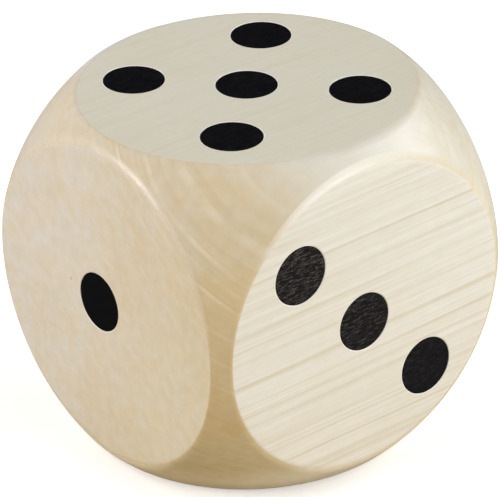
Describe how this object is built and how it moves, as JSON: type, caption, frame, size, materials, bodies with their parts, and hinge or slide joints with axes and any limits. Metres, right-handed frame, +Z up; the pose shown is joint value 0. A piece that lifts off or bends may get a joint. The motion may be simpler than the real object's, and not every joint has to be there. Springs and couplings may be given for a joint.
{
  "type": "giant yard dice",
  "caption": "Large wooden yard die: a cube with its edges and corners turned to a ball, so each flat face is a disc, with round black painted pips in shallow seats.",
  "frame": {"origin": "centre of the bottom flat face, the two, which the die stands on", "axes": "+Z up through the five; the three faces +X and the one faces -Y, so the four faces -X, the six +Y and the two -Z"},
  "size_m": [0.09, 0.09, 0.09],
  "materials": {
    "pale_wood": "smooth sanded, thin clear satin lacquer, glossier on the turned edges",
    "black_paint": "satin black paint, the grain showing faintly through it"
  },
  "bodies": {
    "root": {"wood_block": "pale_wood", "one_pip_centre": "black_paint", "two_pip_upper_left": "black_paint", "two_pip_lower_right": "black_paint", "three_pip_upper_left": "black_paint", "three_pip_centre": "black_paint", "three_pip_lower_right": "black_paint", "four_pip_upper_left": "black_paint", "four_pip_upper_right": "black_paint", "four_pip_lower_left": "black_paint", "four_pip_lower_right": "black_paint", "five_pip_upper_left": "black_paint", "five_pip_upper_right": "black_paint", "five_pip_centre": "black_paint", "five_pip_lower_left": "black_paint", "five_pip_lower_right": "black_paint", "six_pip_upper_left": "black_paint", "six_pip_upper_right": "black_paint", "six_pip_middle_left": "black_paint", "six_pip_middle_right": "black_paint", "six_pip_lower_left": "black_paint", "six_pip_lower_right": "black_paint"}
  },
  "joints": []
}
